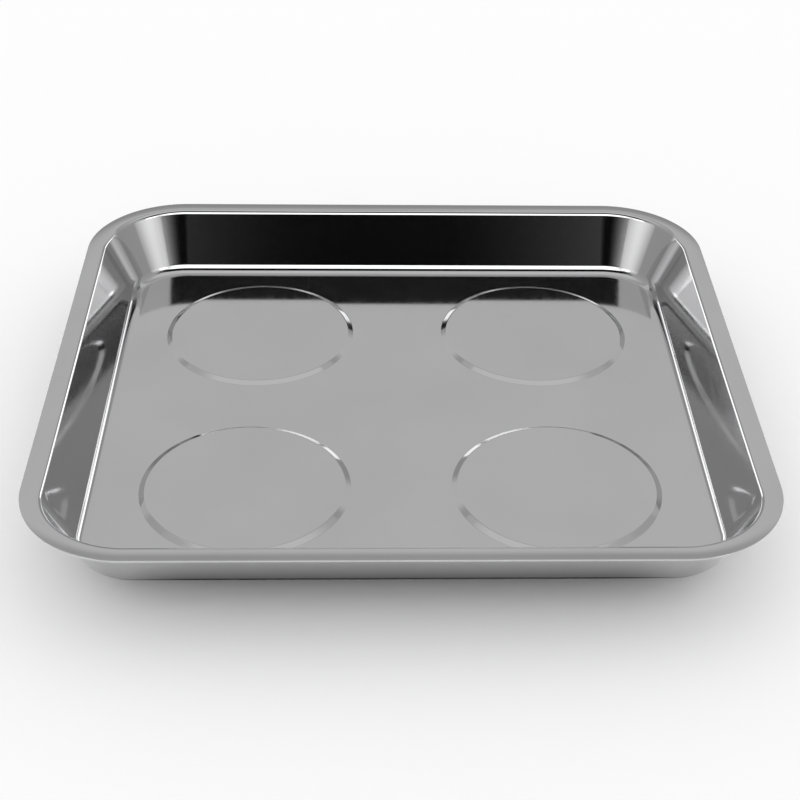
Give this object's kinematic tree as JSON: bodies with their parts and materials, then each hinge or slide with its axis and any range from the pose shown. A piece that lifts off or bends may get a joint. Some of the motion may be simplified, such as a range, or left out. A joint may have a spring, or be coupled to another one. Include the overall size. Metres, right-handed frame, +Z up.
{
  "type": "magnetic parts tray",
  "caption": "Shallow drawn steel tray with a flat flange, rounded corners and raised round seats, held by rubber-booted magnets under its floor.",
  "frame": {"origin": "on the ground under the middle of the tray, in the plane of the rubber feet", "axes": "+Z up, +X along the longer side to the right, front of the tray towards -Y"},
  "size_m": [0.3, 0.28, 0.0396],
  "materials": {
    "stainless_sheet": "bright polished sheet",
    "plated_steel": "zinc plated",
    "ferrite": "dull ground ceramic",
    "black_rubber": "moulded matt"
  },
  "bodies": {
    "root": {"tray_pan": "stainless_sheet", "weld_stud_front_left": "plated_steel", "weld_stud_front_right": "plated_steel", "weld_stud_rear_left": "plated_steel", "weld_stud_rear_right": "plated_steel", "ring_magnet_front_left": "ferrite", "ring_magnet_front_right": "ferrite", "ring_magnet_rear_left": "ferrite", "ring_magnet_rear_right": "ferrite", "backing_plate_front_left": "plated_steel", "backing_plate_front_right": "plated_steel", "backing_plate_rear_left": "plated_steel", "backing_plate_rear_right": "plated_steel", "rubber_boot_front_left": "black_rubber", "rubber_boot_front_right": "black_rubber", "rubber_boot_rear_left": "black_rubber", "rubber_boot_rear_right": "black_rubber", "lock_washer_front_left": "plated_steel", "lock_washer_front_right": "plated_steel", "lock_washer_rear_left": "plated_steel", "lock_washer_rear_right": "plated_steel", "hex_nut_front_left": "plated_steel", "hex_nut_front_right": "plated_steel", "hex_nut_rear_left": "plated_steel", "hex_nut_rear_right": "plated_steel"}
  },
  "joints": []
}
